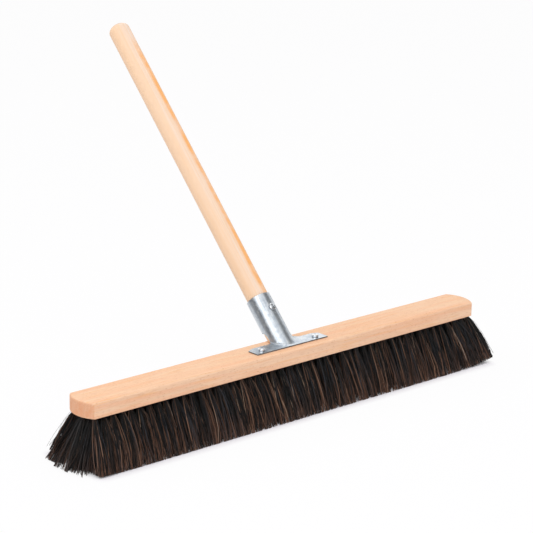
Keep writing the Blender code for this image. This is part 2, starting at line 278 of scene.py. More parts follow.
def finish_beech(tree, colour, pores, end_axis, end_shade):
    """Darkens the end grain, and gives the sanded surface its dull gloss and open pores."""
    normal = add(tree, COORDS).outputs["Normal"]
    facing = add(tree, VECTORS, {0: normal, 1: end_axis}, operation="DOT_PRODUCT")
    facing = add(tree, MATH, {0: facing.outputs["Value"]}, operation="ABSOLUTE")
    on_ends = add(
        tree, LEVELS, {
            "Value": facing, "From Min": END_GRAIN_FROM, "From Max": END_GRAIN_FULL,
            "To Max": END_GRAIN_SHARE,
        },
        interpolation_type="SMOOTHSTEP",
    )
    colour = add(
        tree, MIX, {"Factor": on_ends, "A": colour, "B": linear(end_shade)}, data_type="RGBA",
        blend_type="MULTIPLY",
    )
    bump = add(
        tree, "ShaderNodeBump", {"Strength": 0.2, "Distance": PORE_DEPTH, "Height": pores},
        invert=True,
    )
    shader = add(
        tree, SURFACE, {"Base Color": colour, "Roughness": 0.6, "IOR": 1.35, "Normal": bump}
    )
    add(tree, OUTPUT, {"Surface": shader})


shape = bmesh.new()
quarter = steps_between(0, math.pi / 2, ARRIS_STEPS)
bottom = [
    (BOTTOM_ROUND * (1 - math.sin(turn)), block_low.z + BOTTOM_ROUND * (1 - math.cos(turn)))
    for turn in quarter
]
top = [
    (TOP_ROUND * (1 - math.cos(turn)), block_high.z - TOP_ROUND * (1 - math.sin(turn)))
    for turn in quarter
]
rings = [ring_of(shape, block_outline(inset), height) for inset, height in bottom + top]
join_rings(shape, rings)
tuft_holes = [
    blind_hole(
        shape, circle(x, (row - ROW_COUNT // 2) * ROW_PITCH, TUFT_HOLE_RADIUS, HOLE_STEPS),
        block_low.z, TUFT_HOLE_DEPTH,
    )
    for row in range(ROW_COUNT)
    for x in tuft_places(row)
]
holed_face(shape, rings[0], tuft_holes)
pilot_holes = [
    blind_hole(
        shape, circle(x, -PLATE_SCREW_FRONT, PILOT_RADIUS, HOLE_STEPS), block_high.z, -PILOT_DEPTH
    )
    for x in (-PLATE_SCREW_OUT, PLATE_SCREW_OUT)
]
holed_face(shape, rings[-1], pilot_holes)

# Sanded beech is pale and even. The eye sees soft lengthwise streaks of cream and peach, fine
# pores along the grain and short brown ray flecks, and end grain that is darker and pinker. The
# real pores are 0.1 mm wide; they are drawn four times as wide, or they wouldn't show.
BLOCK_SHADES = {"cream": "#F6CFAE", "peach": "#F4BE98", "gold": "#F4BC88", "brown": "#CC8C64"}
BLOCK_LAYERS = (
    (0.160, 0.0065, 0.40, 0.62, "peach", 0.75),
    (0.050, 0.0018, 0.50, 0.70, "gold", 0.60),
    (0.0034, 0.0009, 0.62, 0.72, "brown", 0.60),
    (0.010, 0.0004, 0.50, 0.74, "brown", 0.34),
)
material, tree = new_material("bare_sanded_beech")
grain, colour, pores = paint_beech(
    tree, grain_turn=(math.radians(0.6), math.radians(90.5), 0), grain_place=(0, 0, 0),
    pith=(0.05, 0.180, 0), layers=BLOCK_LAYERS, ring_spacing=0.0034, ring_shade=0.16,
    shades=BLOCK_SHADES,
)
finish_beech(tree, colour, pores, end_axis=(1, 0, 0), end_shade="#ECD3C4")
block = add_piece("beech_block", shape, material)
keep_flats_flat(block)
keep_as_mesh(block)
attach(block, "root")
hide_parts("block")


# Horsehair: black and brown tail hair, folded in bundles that are stapled into the block's holes
# in five rows, then sheared on one plane. In use each bundle has parted into thin locks, and at
# the block's ends they lean out. Each row is made as a left and a right half.

# A tuft parts into locks, a lock into strands, and a strand is a few hairs that keep together.
LOCKS_IN_TUFT = 12
STRANDS_IN_LOCK = 5
HAIRS_IN_STRAND = 4
HAIR_POINTS = 5
HAIR_TIP_SHARE = 0.85
ROOT_IN_HOLE = 0.002
FRONT_EDGE = 0.0455
BACK_EDGE = 0.0530
ROW_OVERLAP_SHARE = 0.60
ROW_SPREAD = 1.12
TIP_REACH = {"left": 0.322, "right": 0.328}
TIP_RISE = {"left": 0.002, "right": 0.007}
FAN_LENGTH = 0.090
FRONT_CORNER = 0.046
BACK_CORNER = 0.058
END_CROWDING = 0.007
# Painted shade: the inner rows draw on darker hair tones, for the shade that the outer rows cast on
# them.
INNER_ROWS_SHADE_TONE_SHARE = 0.94
DOUBLE_TUFTS_FROM = 0.262
LOCK_ROOT_SHARE = (0.42, 0.42, 0)
STRAND_ROOT_SHARE = (0.30, 0.30, 0)
MIDDLE_SHARE = (0.57, 0.62, 0.5)
WILD_HAIR_POWER = 40
WILD_HAIR_BOW = 0.004
FAN_POWER = 2
FAN_RISE_POWER = 4
FINE_HAIR_TONE, COARSE_HAIR_TONE = 0.60, 0.64
SEEDS_PER_ROW = 20.0
SEEDS_PER_HALF = 10.0

TRANSFORM, REALIZE = "GeometryNodeTransform", "GeometryNodeRealizeInstances"
HAIR_SIZES = {
    "Hole radius": TUFT_HOLE_RADIUS,
    "Row at floor": (0.0, 0.0, 0.0),
    "Tip spread": (0.0070, 0.010, 0.0),
    "Scatter": 0.0042,
    "Fray": 0.0005,
    "Stray": 0.008,
    "Fan start": 0.195,
    "Fan end": 0.290,
    "Push": 0.030,
    "Fan rise": 0.003,
    "Outer corner": (0.320, 0.053, 0.0),
    "Inner corner": (-0.320, -0.0455, 0.0),
    "Trim": 0.0012,
    "Bow": 0.0032,
    "Wave": 0.0009,
    "Hair radius": 0.00018,
    "Coarse hair share": 1.4,
    "Tone share": 0.92,
    "Tone scatter": 0.10,
    "Inner": 0.0,
    "Seed": 1.0,
}


def new_tree(name, sizes):
    """An empty geometry node tree with named inputs for its sizes."""
    tree = bpy.data.node_groups.new(name, "GeometryNodeTree")
    face = tree.interface
    face.new_socket("Geometry", in_out="OUTPUT", socket_type="NodeSocketGeometry")
    face.new_socket("Geometry", in_out="INPUT", socket_type="NodeSocketGeometry")
    for label, value in sizes.items():
        kind = "NodeSocketVector" if isinstance(value, tuple) else "NodeSocketFloat"
        face.new_socket(label, in_out="INPUT", socket_type=kind).default_value = value
    return tree, add(tree, "NodeGroupInput").outputs


def run_tree(piece, tree, values):
    """Makes a piece's shape with a node tree at these sizes, and keeps it as a plain mesh."""
    maker = piece.modifiers.new(tree.name, "NODES")
    maker.node_group = tree
    sockets = [item for item in tree.interface.items_tree if item.in_out == "INPUT"]
    places = {socket.name: socket.identifier for socket in sockets}
    for label, value in values.items():
        maker[places[label]] = value
    keep_as_mesh(piece)


def horsehair_tree(material):
    """Grows hairs from the points of a row's tufts, in locks that part on their way down."""
    tree, size = new_tree("horsehair", HAIR_SIZES)
    tufts = add(tree, "GeometryNodeMeshToPoints", {"Mesh": size["Geometry"]})
    hairs = add(
        tree, "GeometryNodeDuplicateElements",
        {"Geometry": tufts, "Amount": LOCKS_IN_TUFT * STRANDS_IN_LOCK * HAIRS_IN_STRAND},
        domain="POINT",
    )
    hair = add(tree, "GeometryNodeInputIndex")
    strand = add(tree, MATH, {0: hair, 1: HAIRS_IN_STRAND}, operation="DIVIDE")
    strand = add(tree, MATH, {0: strand}, operation="FLOOR")
    lock = add(tree, MATH, {0: strand, 1: STRANDS_IN_LOCK}, operation="DIVIDE")
    lock = add(tree, MATH, {0: lock}, operation="FLOOR")
    place = add(tree, "GeometryNodeInputPosition")

    # Ways, bows and waves are random vectors from -1 to 1; tone and luck go from 0 to 1.
    draws = {"lock way": lock, "lock bow": lock, "strand way": strand, "strand bow": strand}
    draws |= {"wave": strand, "tone": strand, "hair way": hair, "luck": hair}
    chance = {}
    for step, (label, key) in enumerate(draws.items()):
        lowest = 0 if label in ("tone", "luck") else -1
        seed = add(tree, MATH, {0: size["Seed"], 1: step}, operation="ADD")
        chance[label] = add(
            tree, "FunctionNodeRandomValue",
            {"Min": (lowest,) * 3, "Max": (1, 1, 1), "ID": key, "Seed": seed},
            data_type="FLOAT_VECTOR",
        )
    luck = add(tree, SPLIT, {0: chance["luck"]}).outputs
    wild = add(tree, MATH, {0: luck["X"], 1: WILD_HAIR_POWER}, operation="POWER")

    # The root: each lock and strand keeps to its own part of the hole.
    own = add(tree, VECTORS, {0: chance["strand way"], 1: STRAND_ROOT_SHARE}, operation="MULTIPLY")
    root = add(
        tree, VECTORS, {0: chance["lock way"], 1: LOCK_ROOT_SHARE, 2: own}, operation="MULTIPLY_ADD"
    )
    root = add(tree, VECTORS, {0: root, "Scale": size["Hole radius"]}, operation="SCALE")
    root = add(tree, VECTORS, {0: place, 1: root}, operation="ADD")

    # The tip: the lock's own place on the floor, scattered, then pushed out near the ends.
    tip = add(tree, VECTORS, {0: chance["hair way"], "Scale": size["Fray"]}, operation="SCALE")
    strand_tip = add(
        tree, VECTORS, {0: chance["strand way"], "Scale": size["Scatter"]}, operation="SCALE"
    )
    tip = add(tree, VECTORS, {0: tip, 1: strand_tip}, operation="ADD")
    for toward, share in ((chance["lock way"], size["Tip spread"]), (place, (1, 0, 0))):
        tip = add(tree, VECTORS, {0: toward, 1: share, 2: tip}, operation="MULTIPLY_ADD")
    tip = add(tree, VECTORS, {0: tip, 1: size["Row at floor"]}, operation="ADD")
    along_x = add(tree, SPLIT, {0: tip}).outputs["X"]
    from_middle = add(tree, MATH, {0: along_x}, operation="ABSOLUTE")
    fan = add(
        tree, LEVELS,
        {"Value": from_middle, "From Min": size["Fan start"], "From Max": size["Fan end"]},
    )
    rise = add(tree, MATH, {0: fan, 1: FAN_RISE_POWER}, operation="POWER")
    fan = add(tree, MATH, {0: fan, 1: FAN_POWER}, operation="POWER")
    fan = add(tree, MATH, {0: fan, 1: size["Push"]}, operation="MULTIPLY")
    side = add(tree, MATH, {0: along_x}, operation="SIGN")
    fan = add(tree, MATH, {0: fan, 1: side}, operation="MULTIPLY")
    stray = add(tree, MATH, {0: wild, 1: size["Stray"]}, operation="MULTIPLY")
    tip_z = stray
    for share, height in ((luck["Y"], "Trim"), (rise, "Fan rise")):
        tip_z = add(tree, MATH, {0: share, 1: size[height], 2: tip_z}, operation="MULTIPLY_ADD")
    pushed = add(tree, JOIN, {"X": fan})
    stray = add(tree, VECTORS, {0: chance["hair way"], "Scale": stray}, operation="SCALE")
    low, high = size["Inner corner"], size["Outer corner"]
    for change, by in (("ADD", pushed), ("MAXIMUM", low), ("MINIMUM", high), ("ADD", stray)):
        tip = add(tree, VECTORS, {0: tip, 1: by}, operation=change)
    trimmed = add(tree, JOIN, {"Z": tip_z})
    tip = add(tree, VECTORS, {0: tip, 1: (1, 1, 0), 2: trimmed}, operation="MULTIPLY_ADD")

    # The middle: the hair spreads early, then hangs, and each lock and hair bows its own way.
    way = add(tree, VECTORS, {0: tip, 1: root}, operation="SUBTRACT")
    middle = add(tree, VECTORS, {0: way, 1: MIDDLE_SHARE, 2: root}, operation="MULTIPLY_ADD")
    bow = add(tree, VECTORS, {0: chance["lock bow"], 1: chance["strand bow"]}, operation="ADD")
    bow_size = add(
        tree, MATH, {0: wild, 1: WILD_HAIR_BOW, 2: size["Bow"]}, operation="MULTIPLY_ADD"
    )
    bow = add(tree, VECTORS, {0: bow, "Scale": bow_size}, operation="SCALE")
    middle = add(tree, VECTORS, {0: middle, 1: bow}, operation="ADD")
    wave = add(tree, VECTORS, {0: chance["wave"], "Scale": size["Wave"]}, operation="SCALE")

    tone = add(tree, SPLIT, {0: chance["tone"]})
    tone = add(
        tree, MATH, {0: luck["Z"], 1: size["Tone scatter"], 2: tone}, operation="MULTIPLY_ADD"
    )
    tone = add(tree, MATH, {0: tone, 1: size["Tone share"]}, operation="MULTIPLY")

    kept = hairs.outputs["Geometry"]
    places = {"root": root, "middle": middle, "tip": tip, "wave": wave}
    for label, value in {**places, "tone": tone, "inner": size["Inner"]}.items():
        kept = add(
            tree, "GeometryNodeStoreNamedAttribute",
            {"Geometry": kept, "Name": label, "Value": value},
            data_type="FLOAT_VECTOR" if label in places else "FLOAT", domain="POINT",
        )
    line = add(tree, "GeometryNodeCurvePrimitiveLine", {"End": (0.0, 0.0, -1.0)})
    line = add(tree, "GeometryNodeResampleCurve", {"Curve": line, "Count": HAIR_POINTS})
    strands = add(tree, "GeometryNodeInstanceOnPoints", {"Points": kept, "Instance": line})
    strands = add(tree, REALIZE, {"Geometry": strands})

    along = add(tree, "GeometryNodeSplineParameter")
    read = {
        label: add(
            tree, "GeometryNodeInputNamedAttribute", {"Name": label}, data_type="FLOAT_VECTOR"
        )
        for label in places
    }
    upper, lower = (
        add(tree, MIX, {"Factor": along, "A": read[start], "B": read[end]}, data_type="VECTOR")
        for start, end in (("root", "middle"), ("middle", "tip"))
    )
    path = add(tree, MIX, {"Factor": along, "A": upper, "B": lower}, data_type="VECTOR")
    swing = add(tree, MATH, {0: along, 1: math.tau}, operation="MULTIPLY")
    swing = add(tree, MATH, {0: swing}, operation="SINE")
    swung = add(tree, VECTORS, {0: read["wave"], "Scale": swing}, operation="SCALE")
    path = add(tree, VECTORS, {0: path, 1: swung}, operation="ADD")
    strands = add(tree, "GeometryNodeSetPosition", {"Geometry": strands, "Position": path})
    strands = add(
        tree, "GeometryNodeStoreNamedAttribute",
        {"Geometry": strands, "Name": "along", "Value": along}, data_type="FLOAT", domain="POINT",
    )

    # Hairs thin towards their tips, and pale strands are coarser than dark ones.
    thin = add(tree, LEVELS, {"Value": along, "To Min": 1, "To Max": HAIR_TIP_SHARE})
    pale = add(tree, "GeometryNodeInputNamedAttribute", {"Name": "tone"}, data_type="FLOAT")
    coarse = add(
        tree, LEVELS, {
            "Value": pale, "From Min": FINE_HAIR_TONE, "From Max": COARSE_HAIR_TONE, "To Min": 1,
            "To Max": size["Coarse hair share"],
        },
    )
    thin = add(tree, MATH, {0: thin, 1: coarse}, operation="MULTIPLY")
    section = add(
        tree, "GeometryNodeCurvePrimitiveCircle", {"Resolution": 3, "Radius": size["Hair radius"]}
    )
    grown = add(
        tree, "GeometryNodeCurveToMesh", {
            "Curve": strands, "Profile Curve": section.outputs["Curve"], "Scale": thin,
            "Fill Caps": True,
        },
    )
    grown = add(tree, "GeometryNodeSetShadeSmooth", {"Geometry": grown})
    grown = add(tree, REALIZE, {"Geometry": grown})
    grown = add(tree, "GeometryNodeSetMaterial", {"Geometry": grown, "Material": material})
    add(tree, "NodeGroupOutput", {"Geometry": grown})
    return tree


# Horsehair is smooth and round with a soft gloss. Most of it is black or dark brown, with a few
# copper and pale hairs, and the cut ends, worn and dusty, turn brown. Near the roots the hair is
# painted near black, most in the inner rows, and the inner rows take darker tones all the way
# down: painted shade for the shade under the block and between the tufts. Single hairs are 0.2 mm
# thick; they are drawn nearly twice as thick, the pale ones more, and share their tone in strands
# of four, or they wouldn't show.
HAIR_SHADES = (
    (0.00, "#040404"),
    (0.34, "#0B0B0C"),
    (0.53, "#1D1F24"),
    (0.64, "#393A40"),
    (0.70, "#33221A"),
    (0.825, "#5E402F"),
    (0.92, "#93705A"),
    (0.973, "#B99F88"),
    (0.995, "#D8CBBB"),
)
WORN_FROM, WORN_SHARE = 0.50, 0.60
BROWN_FROM_TONE = 0.20
ROOT_SHADE_REACH = 0.45
ROOT_SHADE_OUTER_ROWS, ROOT_SHADE_INNER_ROWS = 0.60, 0.98
material, tree = new_material("black_horsehair")
tone, along, inner = (
    add(tree, "ShaderNodeAttribute", attribute_name=name).outputs["Fac"]
    for name in ("tone", "along", "inner")
)
shades = add(tree, "ShaderNodeValToRGB", {"Fac": tone})
shades.color_ramp.interpolation = "CONSTANT"
for _ in HAIR_SHADES[2:]:
    shades.color_ramp.elements.new(1)
for stop, (place, shade) in zip(shades.color_ramp.elements, HAIR_SHADES):
    stop.position = place
    stop.color = linear(shade)
worn = add(tree, LEVELS, {"Value": along, "From Min": WORN_FROM, "To Max": WORN_SHARE})
browner = add(tree, LEVELS, {"Value": tone, "From Min": BROWN_FROM_TONE})
worn = add(tree, MATH, {0: worn, 1: browner}, operation="MULTIPLY")
# Painted shade: from the root down the hair is painted near black, most in the inner rows, where
# the block and the outer tufts shade it.
at_root = add(tree, LEVELS, {"Value": inner, "To Min": ROOT_SHADE_OUTER_ROWS, "To Max": ROOT_SHADE_INNER_ROWS})
root_shade = add(tree, LEVELS, {"Value": along, "From Max": ROOT_SHADE_REACH, "To Min": at_root, "To Max": 0})
colour = shades.outputs["Color"]
for share, shade in ((worn, "#74523F"), (root_shade, "#030303")):
    colour = add(tree, MIX, {"Factor": share, "A": colour, "B": linear(shade)}, data_type="RGBA")
shader = add(tree, SURFACE, {"Base Color": colour, "Roughness": 0.36, "IOR": 1.5})
add(tree, OUTPUT, {"Surface": shader})

horsehair = horsehair_tree(material)
for row in range(ROW_COUNT):
    offset = row - ROW_COUNT // 2
    edge, corner = (FRONT_EDGE, FRONT_CORNER) if offset < 0 else (BACK_EDGE, BACK_CORNER)
    row_depth = edge / (ROW_COUNT / 2)
    tip_side = offset * row_depth * ROW_SPREAD
    # The tips' plan has round corners, so the outer rows reach less far.
    inside_corner = max(0, abs(offset) * row_depth - (edge - corner))
    corner_loss = corner - math.sqrt(corner**2 - inside_corner**2)
    inner = float(abs(offset) < ROW_COUNT // 2)
    last = tuft_places(row)[-1] + HAIR_SIZES["Tip spread"][0] + HAIR_SIZES["Scatter"] / 2
    reach = {half: TIP_REACH[half] - corner_loss for half in TIP_REACH}
    halves = {
        "left": [x for x in tuft_places(row) if x < 0],
        "right": [x for x in tuft_places(row) if x >= 0],
    }
    for half, places in halves.items():
        shape = bmesh.new()
        doubled = [x for x in places if abs(x) > DOUBLE_TUFTS_FROM]
        for x in places + doubled:
            shape.verts.new((x, offset * ROW_PITCH, block_low.z + ROOT_IN_HOLE))
        hairs = add_piece(f"horsehair_row_{row + 1}_{half}", shape)
        run_tree(
            hairs, horsehair, {
                "Row at floor": (0.0, tip_side, 0.0),
                "Tip spread": (HAIR_SIZES["Tip spread"][0], row_depth * ROW_OVERLAP_SHARE, 0.0),
                "Fan start": last - FAN_LENGTH, "Fan end": last,
                "Push": reach[half] - last + END_CROWDING, "Fan rise": TIP_RISE[half],
                "Outer corner": (reach["right"], BACK_EDGE, 0.0),
                "Inner corner": (-reach["left"], -FRONT_EDGE, 0.0), "Inner": inner,
                # Painted shade: the inner rows take darker tones.
                "Tone share": HAIR_SIZES["Tone share"] * (INNER_ROWS_SHADE_TONE_SHARE if inner else 1),
                "Seed": SEEDS_PER_ROW * row + (SEEDS_PER_HALF if half == "left" else 0.0),
            },
        )
        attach(hairs, "root")
        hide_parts(f"tuft_row_{row + 1}")


# Socket: one T of galvanised sheet. The wings of the T are screwed on the block, and its stem is
# folded up, tightly on the left and in a wide curve on the right, and rolled round the handle to
# a butt seam at the back, above a notch.

HANDLE_RADIUS = 0.013
HANDLE_LEAN = math.radians(43.3)
AXIS_BACK = 0.009
SEAT_GAP = 0.0003
SHEET = 0.0012
RIM_REACH = 0.0585
SEAM_GAP = 0.001
WING_LENGTH = 0.109
WING_FRONT = 0.013
WING_BACK = 0.007
CLIP_LENGTH = 0.0085
CLIP_WIDTH = 0.004
TIGHT_FOLD = (0.0030, 0.0030)
WIDE_FOLD = (0.0130, 0.0150)
FOLD_OPENS = (math.radians(-30), math.radians(60))
FOLD_LEDGE = 0.0014
NOTCH_CORNER_TURN = math.radians(35)
NOTCH_CORNER_REACH = 0.018
NOTCH_SEAM_REACH = 0.020
SOCKET_SCREW_REACH = 0.039
SHEET_HOLE_RADIUS = 0.0023
EDGE_WEAR = 0.00012
EDGE_WEAR_FROM = math.radians(50)
DRILL_OUT, DRILL_IN = 0.004, 0.006
DRILL_STEPS = 24
TUBE_STEPS = 96
FOLD_STEPS = 16
NOTCH_STEPS = 14
BACK_STEPS = 24

PLATE_TOP = block_high.z + SEAT_GAP + SHEET
TUBE_RADIUS = HANDLE_RADIUS + SEAT_GAP + SHEET
AXIS_BASE = Vector((0, AXIS_BACK, block_high.z))
AXIS = Vector((0, math.sin(HANDLE_LEAN), math.cos(HANDLE_LEAN)))
FRONT = Vector((0, -math.cos(HANDLE_LEAN), math.sin(HANDLE_LEAN)))
SIDE = Vector((1, 0, 0))


def on_tube(turn, reach):
    """A point of the tube's outer face: turn is measured from its front, round the axis."""
    outward = SIDE * math.sin(turn) + FRONT * math.cos(turn)
    return AXIS_BASE + AXIS * reach + outward * TUBE_RADIUS


def fold_corner(turn):
    """Where the tube's line at this turn would meet the plate's upper face."""
    foot = on_tube(turn, 0)
    return foot + AXIS * ((PLATE_TOP - foot.z) / AXIS.z)


def fold_size(turn):
    """How far the fold reaches up the tube and out over the plate."""
    opens, opened = FOLD_OPENS
    share = min(max((turn - opens) / (opened - opens), 0), 1)
    share *= share * (3 - 2 * share)
    return [tight + (wide - tight) * share for tight, wide in zip(TIGHT_FOLD, WIDE_FOLD)]


def fold(turn):
    """The sheet's curve from the tube's wall to the plate."""
    height, width = fold_size(turn)
    corner = fold_corner(turn)
    start = corner + AXIS * height
    depth = WING_BACK + WING_FRONT - FOLD_LEDGE
    end = Vector(
        ((TUBE_RADIUS + width) * math.sin(turn), WING_BACK - depth * math.cos(turn), PLATE_TOP)
    )
    return [
        start.lerp(corner, step).lerp(corner.lerp(end, step), step)
        for step in steps_between(0, 1, FOLD_STEPS)
    ]


def notch_edge(side):
    """The stem's free edge on one side, from the fold round the corner to the seam."""
    height, _ = fold_size(side * math.pi / 2)
    start = (fold_corner(math.pi / 2) - AXIS_BASE).dot(AXIS) + height
    edge = [
        (
            math.pi / 2 + NOTCH_CORNER_TURN * (1 - math.cos(turn)),
            start + (NOTCH_CORNER_REACH - start) * math.sin(turn),
        )
        for turn in steps_between(0, math.pi / 2, NOTCH_STEPS)[1:]
    ]
    corner_turn = math.pi / 2 + NOTCH_CORNER_TURN
    seam_turn = math.pi - math.asin(SEAM_GAP / 2 / TUBE_RADIUS)
    turns = steps_between(corner_turn, seam_turn, BACK_STEPS)[1:]
    reaches = steps_between(NOTCH_CORNER_REACH, NOTCH_SEAM_REACH, BACK_STEPS)[1:]
    edge += zip(turns, reaches)
    return [[on_tube(side * turn, RIM_REACH), on_tube(side * turn, reach)] for turn, reach in edge]


def finish_metal(tree, shades, tint, gloss, dents=None):
    """Gives a metal its two mixed shades, its gloss and, where it has them, its dents."""
    dull, bright = map(linear, shades)
    colour = add(tree, MIX, {"Factor": tint, "A": dull, "B": bright}, data_type="RGBA")
    finish = {"Base Color": colour, "Metallic": 1.0, "Roughness": gloss}
    if dents:
        finish["Normal"] = add(tree, "ShaderNodeBump", dents)
    shader = add(tree, SURFACE, finish)
    add(tree, OUTPUT, {"Surface": shader})


shape = bmesh.new()
front = [
    [on_tube(turn, RIM_REACH), *fold(turn)]
    for turn in steps_between(-math.pi / 2, math.pi / 2, TUBE_STEPS)
]
columns = notch_edge(-1)[::-1] + front + notch_edge(1)
grid = [[shape.verts.new(point) for point in column] for column in columns]
for left, right in zip(grid, grid[1:]):
    for row in range(min(len(left), len(right)) - 1):
        shape.faces.new([left[row], left[row + 1], right[row + 1], right[row]])
end = WING_LENGTH / 2
right_wing = [(end - CLIP_LENGTH, WING_BACK), (end, WING_BACK - CLIP_WIDTH), (end, -WING_FRONT)]
left_wing = [(-x, y) for x, y in reversed(right_wing)]
wing_holes = [
    ring_of(shape, circle(x, -PLATE_SCREW_FRONT, SHEET_HOLE_RADIUS, HOLE_STEPS), PLATE_TOP)
    for x in (-PLATE_SCREW_OUT, PLATE_SCREW_OUT)
]
folded = [column[-1] for column in grid if len(column) > 2]
holed_face(shape, folded + ring_of(shape, right_wing + left_wing, PLATE_TOP), wing_holes)

# Galvanised sheet has a thin bright zinc coat. The eye sees long soft reflections down the
# tube, broken by cloudy spangle a few millimetres wide and by faint marks of the rolls. Where
# it was cut, the edges are a darker grey: partly duller bare steel, partly painted shade for the
# thin dark line under the plate's front edge.
SPANGLE = 0.0045
ROLL_MARK_LENGTH, ROLL_MARK_WIDTH = 0.030, 0.0016
material, tree = new_material("galvanised_steel_sheet")
place = add(tree, COORDS).outputs["Object"]
along_axis = add(tree, MAPPING, {"Vector": place, "Rotation": (HANDLE_LEAN, 0, 0)})
spangle = add(tree, NOISE, {"Vector": place, "Scale": 1 / SPANGLE, "Detail": 2})
rolled = add(
    tree, MAPPING, {
        "Vector": along_axis,
        "Scale": (1 / ROLL_MARK_WIDTH, 1 / ROLL_MARK_WIDTH, 1 / ROLL_MARK_LENGTH),
    },
)
marks = add(tree, NOISE, {"Vector": rolled, "Scale": 1, "Detail": 3})
mixed = add(tree, MATH, {0: spangle, 1: marks}, operation="ADD")
tint = add(tree, LEVELS, {"Value": mixed, "From Min": 0.75, "From Max": 1.25})
gloss = add(
    tree, LEVELS,
    {"Value": spangle, "From Min": 0.35, "From Max": 0.65, "To Min": 0.30, "To Max": 0.38},
)
waves = {"Strength": 0.5, "Distance": 0.00006, "Height": spangle}
finish_metal(tree, ("#BFC9D4", "#EAEFF3"), tint, gloss, waves)

socket = add_piece("sheet_socket", shape, material)
# The cut edges' darker grey is bare steel, and also painted shade for the dark line under the
# plate's front edge.
material, tree = new_material("cut_edge_and_painted_shade_of_sheet")
finish_metal(tree, ("#7C828A", "#7C828A"), tint=0.0, gloss=0.5)
socket.data.materials.append(material)
wall = socket.modifiers.new("sheet", "SOLIDIFY")
wall.material_offset_rim = 1
wall.thickness = SHEET
wall.offset = -1
wall.use_even_offset = True
wall.use_quality_normals = True
worn_edges = socket.modifiers.new("worn_edges", "BEVEL")
worn_edges.width = EDGE_WEAR
worn_edges.segments = 2
worn_edges.limit_method = "ANGLE"
worn_edges.angle_limit = EDGE_WEAR_FROM


def cylinder_along(radius, start, end, steps):
    """A closed cylinder between two points."""
    shape = bmesh.new()
    way = end - start
    turned = way.to_track_quat("Z", "Y").to_matrix().to_4x4()
    rings = [ring_of(shape, circle(0, 0, radius, steps), reach) for reach in (0, way.length)]
    join_rings(shape, rings)
    for ring in rings:
        shape.faces.new(ring)
    bmesh.ops.transform(shape, matrix=Matrix.Translation(start) @ turned, verts=shape.verts)
    return shape


def drill_through(piece, radius, start, end):
    """Cuts a round hole through a piece and keeps the result as a plain mesh."""
    drill = add_piece("drill", cylinder_along(radius, start, end, DRILL_STEPS))
    hole = piece.modifiers.new("hole", "BOOLEAN")
    hole.operation = "DIFFERENCE"
    hole.solver = "EXACT"
    hole.object = drill
    keep_flats_flat(piece)
    keep_as_mesh(piece)
    bpy.data.objects.remove(drill, do_unlink=True)


screw_seat = AXIS_BASE + AXIS * SOCKET_SCREW_REACH + FRONT * (TUBE_RADIUS + SEAT_GAP)
drill_from, drill_to = screw_seat + FRONT * DRILL_OUT, screw_seat - FRONT * DRILL_IN
drill_through(socket, SHEET_HOLE_RADIUS, drill_from, drill_to)
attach(socket, "root")
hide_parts("handle_socket")


# Handle: a turned beech stick with a domed end, pushed into the socket and held there by one
# screw. Its grain runs along it, with one orange growth line down the front.

HANDLE_REACH = 0.450
DOME_HEIGHT = 0.0085
END_CHAMFER = 0.001
HANDLE_END_REACH = 0.0025
HANDLE_END_GAP = 0.0004
HANDLE_STEPS = 96
DOME_STEPS = 18
HANDLE_PILOT_DEPTH = 0.0145

dome_base = HANDLE_REACH - DOME_HEIGHT
profile = [
    (HANDLE_RADIUS - END_CHAMFER, HANDLE_END_REACH),
    (HANDLE_RADIUS, HANDLE_END_REACH + END_CHAMFER),
    *(
        (HANDLE_RADIUS * math.cos(turn), dome_base + DOME_HEIGHT * math.sin(turn))
        for turn in steps_between(0, math.pi / 2, DOME_STEPS)[:-1]
    ),
]
shape = bmesh.new()
rings = [ring_of(shape, circle(0, 0, radius, HANDLE_STEPS), height) for radius, height in profile]
join_rings(shape, rings)
shape.faces.new(rings[0])
top = shape.verts.new((0, 0, HANDLE_REACH))
for k in range(HANDLE_STEPS):
    shape.faces.new([rings[-1][k - 1], rings[-1][k], top])
axis_turn = Euler((-HANDLE_LEAN, 0, 0))
to_axis = Matrix.Translation(AXIS_BASE) @ axis_turn.to_matrix().to_4x4()
bmesh.ops.transform(shape, matrix=to_axis, verts=shape.verts)
# Its lower end is cut along the block's top, where it shows in the socket's notch.
for vert in rings[0] + rings[1]:
    above_block = vert.co.z - block_high.z - HANDLE_END_GAP
    vert.co += AXIS * max(0, -above_block / AXIS.z)

# The stick is straight-grained beech, turned and sanded: the same pale wood in narrow streaks,
# with a broad orange line where a growth ring runs out along the front. Its sides carry painted
# shade: more golden on its left and pinker on its right, where they turn away from the light.
HANDLE_SHADES = {"cream": "#F0D9C8", "peach": "#F0D1B5", "gold": "#EFC9A2", "brown": "#D19A70"}
HANDLE_LAYERS = (
    (0.200, 0.0030, 0.42, 0.60, "peach", 0.85),
    (0.090, 0.0016, 0.50, 0.66, "gold", 0.60),
    (0.0026, 0.0005, 0.66, 0.74, "brown", 0.22),
    (0.010, 0.0004, 0.52, 0.74, "brown", 0.12),
)
GROWTH_LINE_HALF_WIDTH = 0.0060
GROWTH_LINE_START = 0.424
GROWTH_LINE_DRIFT = -0.0010
GROWTH_LINE_SIDE = 0.0038
GROWTH_LINE_WANDER = 0.002
GROWTH_LINE_FADE = 0.03
FRONT_HALF = (0.0, -0.004)
BREAKS = (0.38, 0.56, 0.5)
WANDERS_PER_METRE, BREAKS_PER_METRE = 16.0, 45.0
LEFT_SIDE_SHADE = (-0.003, -0.0125)
RIGHT_SIDE_SHADE = (0.0060, 0.0095)
SIDE_SHADE_SHARE = 0.85
material, tree = new_material("bare_turned_beech")
grain, colour, pores = paint_beech(
    tree, grain_turn=tuple(axis_turn), grain_place=tuple(AXIS_BASE), pith=(0.075, 0.040, 0),
    layers=HANDLE_LAYERS, ring_spacing=0.0040, ring_shade=0.10, shades=HANDLE_SHADES,
)
